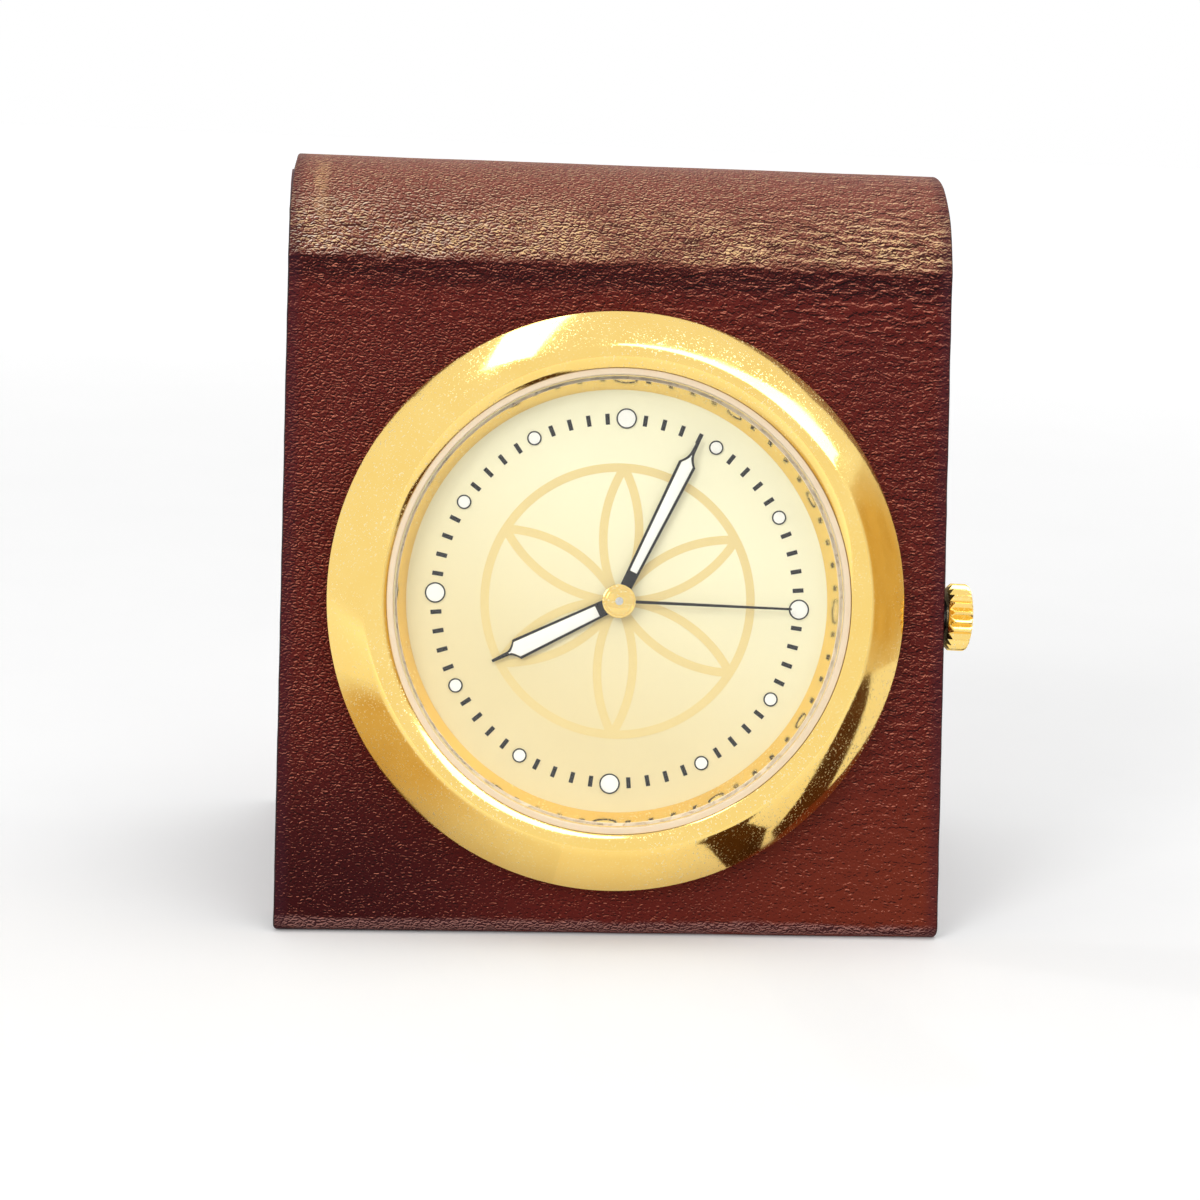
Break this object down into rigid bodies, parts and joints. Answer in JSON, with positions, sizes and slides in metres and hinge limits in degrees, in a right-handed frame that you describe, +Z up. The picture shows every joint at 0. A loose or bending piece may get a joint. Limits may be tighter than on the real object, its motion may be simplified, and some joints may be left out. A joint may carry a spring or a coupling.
{
  "type": "desk clock",
  "caption": "Folding leather easel clock: round gold head with crown on a front block, leather roll and rear leg.",
  "frame": {"origin": "on the table under the middle of the whole clock, crown included", "axes": "+X to the viewer's right (crown side), +Y away from the viewer, +Z up"},
  "size_m": [0.0694, 0.0502, 0.0743],
  "materials": {
    "burgundy_leather": "grained, worn",
    "lining": "smooth",
    "core": "pressed board",
    "gold": "polished, gold plated",
    "glass": "polished",
    "pale_gasket": "translucent",
    "champagne": "satin",
    "lume": "matt",
    "black_hands": "gloss",
    "steel": "turned",
    "nickel": "satin",
    "rubber": "matt",
    "grey_plastic": "moulded",
    "black_plastic": "moulded",
    "green_board": "lacquered",
    "copper": "enamelled wire",
    "brass_wheel": "turned"
  },
  "bodies": {
    "front_block": {"front_board": "core", "cover_front": "burgundy_leather", "front_lining": "lining", "cover_spine": "burgundy_leather", "spine_lining": "lining", "case_body": "gold", "bezel": "gold", "case_back": "gold", "crystal": "glass", "crystal_gasket": "pale_gasket", "rehaut_ring": "gold", "dial": "champagne", "hour_markers": "lume", "case_back_gasket": "rubber", "case_back_screws": "steel", "crown_tube": "steel", "movement_spacer": "grey_plastic", "movement_clamps": "steel", "movement_clamp_screws": "steel", "main_plate": "grey_plastic", "train_bridge": "nickel", "bridge_screws": "steel", "battery": "steel", "battery_clamp": "steel", "battery_clamp_screw": "steel", "circuit_board": "green_board", "quartz_can": "nickel", "control_chip": "black_plastic", "stator": "nickel", "coil_core": "nickel", "coil_winding": "copper"},
    "rear_leg": {"leg_board": "core", "cover_rear": "burgundy_leather", "leg_lining": "lining"},
    "minute_arbor": {"centre_wheel": "brass_wheel", "minute_hand": "black_hands", "minute_hand_lume": "lume"},
    "hour_pipe": {"hour_wheel": "brass_wheel", "hour_hand": "black_hands", "hour_hand_lume": "lume"},
    "seconds_arbor": {"seconds_wheel": "brass_wheel", "seconds_hand": "black_hands", "hub_cap": "gold", "hub_pin": "steel"},
    "third_arbor": {"third_wheel": "brass_wheel"},
    "intermediate_arbor": {"intermediate_wheel": "brass_wheel"},
    "rotor_arbor": {"rotor": "nickel"},
    "minute_wheel_body": {"minute_wheel": "brass_wheel"},
    "setting_wheel_body": {"setting_wheel": "brass_wheel"},
    "crown_slider": {"crown_gasket": "rubber"},
    "crown_knob": {"crown": "gold", "stem": "steel", "stem_extension": "steel"},
    "lever_body": {"setting_lever": "steel"}
  },
  "joints": [
    {"name": "rear_leg_fold", "type": "hinge", "parent": "front_block", "child": "rear_leg", "pos_m": [-0.00147, 0.00288, 0.06307], "axis": [-1, 0, 0], "range_deg": [0, 29], "deforming": ["cover_spine", "spine_lining"]},
    {"name": "minute_hand_turn", "type": "hinge", "parent": "front_block", "child": "minute_arbor", "pos_m": [-0.00147, -0.01502, 0.03275], "axis": [0, 0.9781, -0.2079], "continuous": true},
    {"name": "hour_hand_turn", "type": "hinge", "parent": "front_block", "child": "hour_pipe", "pos_m": [-0.00147, -0.01502, 0.03275], "axis": [0, 0.9781, -0.2079], "continuous": true},
    {"name": "seconds_hand_turn", "type": "hinge", "parent": "front_block", "child": "seconds_arbor", "pos_m": [-0.00147, -0.01502, 0.03275], "axis": [0, 0.9781, -0.2079], "continuous": true},
    {"name": "third_wheel_turn", "type": "hinge", "parent": "front_block", "child": "third_arbor", "pos_m": [-0.00487, -0.01549, 0.03054], "axis": [0, 0.9781, -0.2079], "continuous": true},
    {"name": "intermediate_wheel_turn", "type": "hinge", "parent": "front_block", "child": "intermediate_arbor", "pos_m": [-0.00208, -0.01418, 0.03669], "axis": [0, 0.9781, -0.2079], "continuous": true},
    {"name": "rotor_turn", "type": "hinge", "parent": "front_block", "child": "rotor_arbor", "pos_m": [-0.00042, -0.01371, 0.0389], "axis": [0, 0.9781, -0.2079], "continuous": true},
    {"name": "minute_wheel_turn", "type": "hinge", "parent": "front_block", "child": "minute_wheel_body", "pos_m": [0.00188, -0.01529, 0.03146], "axis": [0, 0.9781, -0.2079], "continuous": true},
    {"name": "setting_wheel_turn", "type": "hinge", "parent": "front_block", "child": "setting_wheel_body", "pos_m": [0.00562, -0.01506, 0.03255], "axis": [0, 0.9781, -0.2079], "continuous": true},
    {"name": "crown_pull", "type": "slide", "parent": "front_block", "child": "crown_slider", "axis": [0.9997, -0.0051, -0.0239], "range_m": [0, 0.001]},
    {"name": "crown_turn", "type": "hinge", "parent": "crown_slider", "child": "crown_knob", "pos_m": [0.0321, -0.01265, 0.03141], "axis": [0.9997, -0.0051, -0.0239], "continuous": true},
    {"name": "setting_lever_swing", "type": "hinge", "parent": "front_block", "child": "lever_body", "pos_m": [0.00759, -0.01455, 0.03498], "axis": [0, -0.9781, 0.2079], "range_deg": [0, 23.07]}
  ],
  "couplings": [
    {"joint": "hour_hand_turn", "follows": "minute_hand_turn", "ratio": 0.083333},
    {"joint": "seconds_hand_turn", "follows": "minute_hand_turn", "ratio": 60},
    {"joint": "third_wheel_turn", "follows": "minute_hand_turn", "ratio": -8},
    {"joint": "intermediate_wheel_turn", "follows": "minute_hand_turn", "ratio": -300},
    {"joint": "rotor_turn", "follows": "minute_hand_turn", "ratio": 1800},
    {"joint": "minute_wheel_turn", "follows": "minute_hand_turn", "ratio": -0.33333},
    {"joint": "setting_wheel_turn", "follows": "minute_hand_turn", "ratio": 0.75},
    {"joint": "setting_lever_swing", "follows": "crown_pull", "rad_per_m": 402.72}
  ]
}
